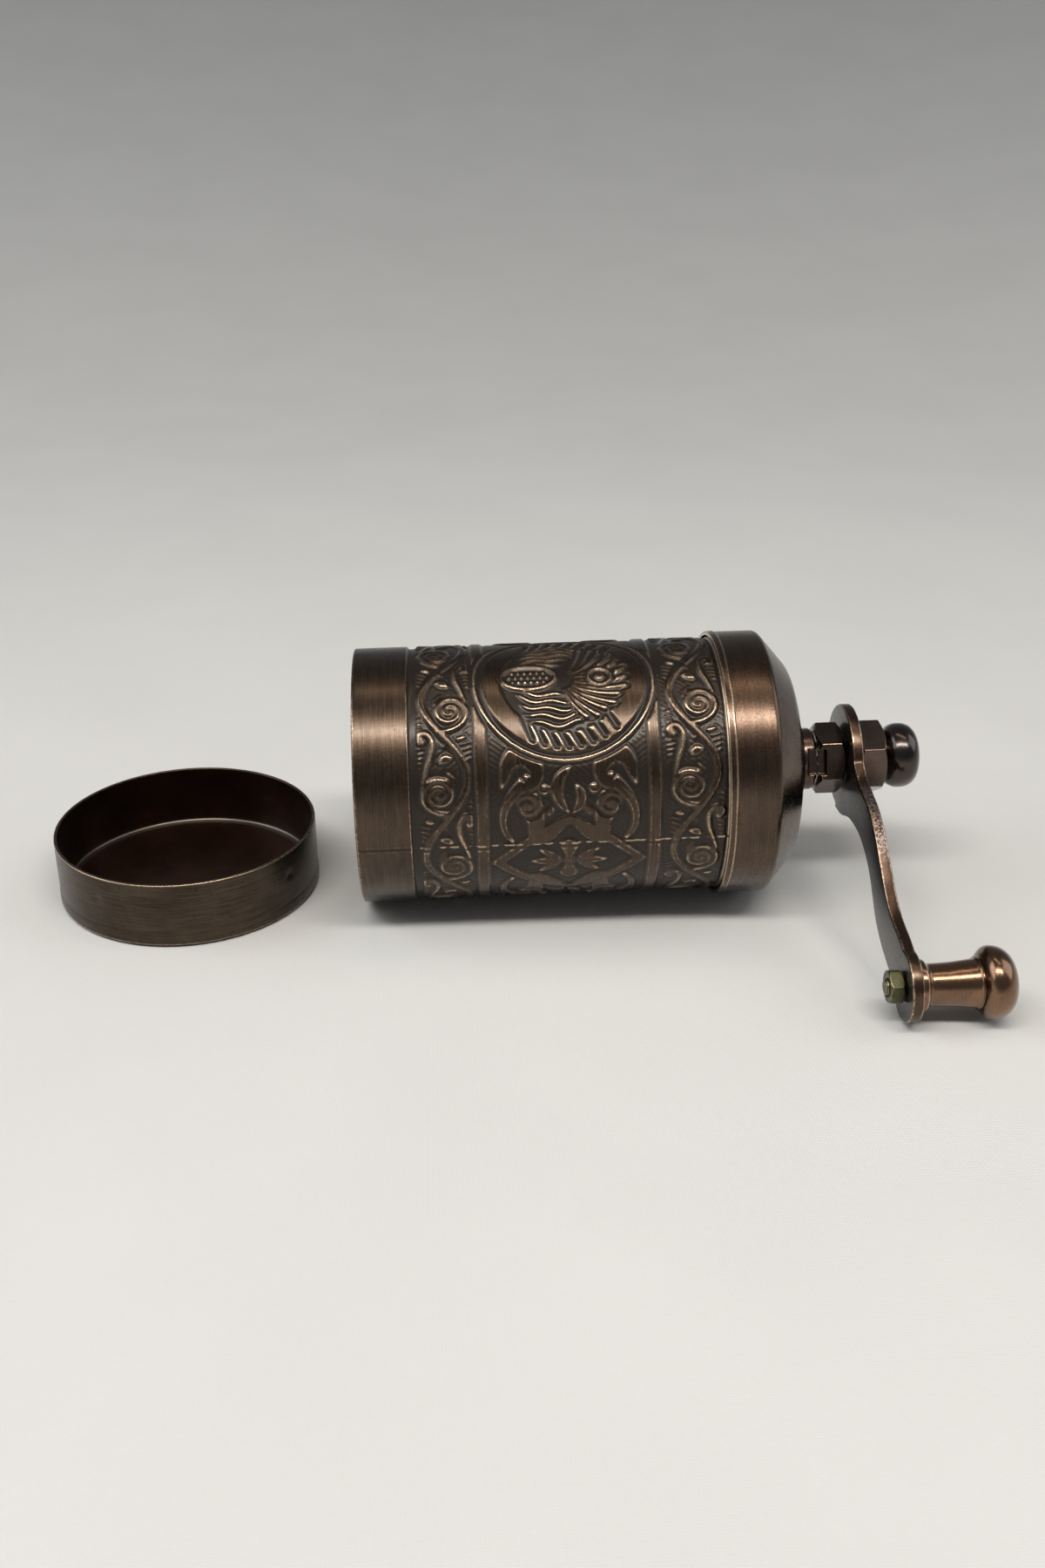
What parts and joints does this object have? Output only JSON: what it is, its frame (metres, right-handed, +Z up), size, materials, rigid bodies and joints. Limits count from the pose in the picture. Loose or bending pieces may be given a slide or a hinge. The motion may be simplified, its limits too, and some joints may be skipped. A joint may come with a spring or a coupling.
{
  "type": "hand crank coffee grinder",
  "caption": "Small embossed copper hand coffee mill lying on its side, with a crank and turning knob, domed push-on cover, burr set inside and its bottom cap standing beside it.",
  "frame": {"origin": "on the table, at the middle of the footprint of the lying mill, its crank and the cap beside it", "axes": "+X along the mill as it lies, from its open rim towards the crank (the mill's axis rises 0.95 degrees along it); +Z up from the table; the crank arm hangs towards -Y"},
  "size_m": [0.1706, 0.0859, 0.0502],
  "materials": {
    "aged_copper": "antique copper plate, embossed, recesses blackened",
    "dark_bronze": "dark antique bronze plate, satin",
    "bright_copper": "worn antique copper plate, semi-gloss",
    "burr_steel": "cast, bare, matt",
    "sheet_steel": "plain zinc-plated steel, satin",
    "brass": "turned, bare",
    "spring_steel": "bare steel, satin",
    "zinc_plate": "yellow-green passivated zinc"
  },
  "bodies": {
    "mill": {"body_shell": "aged_copper", "burr_carrier": "sheet_steel", "outer_burr": "burr_steel", "hopper_funnel": "sheet_steel", "lower_bridge": "sheet_steel", "bridge_screw_left": "sheet_steel", "bridge_screw_right": "sheet_steel", "adjuster_lock_nut": "brass", "upper_bridge": "sheet_steel", "bridge_bushing": "brass", "bridge_rivet_left": "sheet_steel", "bridge_rivet_right": "sheet_steel"},
    "grind_lift": {"spring_washer": "sheet_steel", "pressure_spring": "spring_steel"},
    "shaft": {"spindle": "spring_steel", "inner_burr": "burr_steel", "burr_nut": "sheet_steel", "spring_clip": "spring_steel"},
    "adjuster": {"adjusting_screw": "brass"},
    "crank": {"crank_arm": "dark_bronze", "hub_nut": "dark_bronze", "finial_nut": "dark_bronze", "knob_bolt": "zinc_plate", "knob_nut": "zinc_plate"},
    "knob": {"knob": "bright_copper"},
    "cover": {"top_cover": "aged_copper", "cover_collar": "dark_bronze"},
    "cap": {"bottom_cap": "aged_copper"}
  },
  "joints": [
    {"name": "grind_setting_lift", "type": "slide", "parent": "mill", "child": "grind_lift", "axis": [0.9999, 0, 0.0164], "range_m": [0, 0.00075003]},
    {"name": "crank_spin", "type": "hinge", "parent": "grind_lift", "child": "shaft", "pos_m": [-0.02567, 0.01349, 0.024], "axis": [0.9999, 0, 0.0164], "continuous": true},
    {"name": "adjuster_turn", "type": "hinge", "parent": "grind_lift", "child": "adjuster", "pos_m": [-0.02567, 0.01349, 0.024], "axis": [0.9999, 0, 0.0164], "range_deg": [0, 270.01]},
    {"name": "crank_off", "type": "slide", "parent": "shaft", "child": "crank", "axis": [0.9999, 0, 0.0164], "range_m": [0, 0.036]},
    {"name": "knob_spin", "type": "hinge", "parent": "crank", "child": "knob", "pos_m": [0.06894, -0.03666, 0.00634], "axis": [0.9999, 0, 0.0164], "continuous": true},
    {"name": "cover_off", "type": "slide", "parent": "mill", "child": "cover", "axis": [0.9999, 0, 0.0164], "range_m": [0, 0.0252]},
    {"name": "cap_lift", "type": "slide", "parent": "mill", "child": "cap", "axis": [0, 0, 1], "range_m": [0, 0.06]}
  ],
  "couplings": [
    {"joint": "adjuster_turn", "follows": "grind_setting_lift", "rad_per_m": 6283.2},
    {"joint": "cover_off", "follows": "crank_off", "ratio": 0.7}
  ]
}
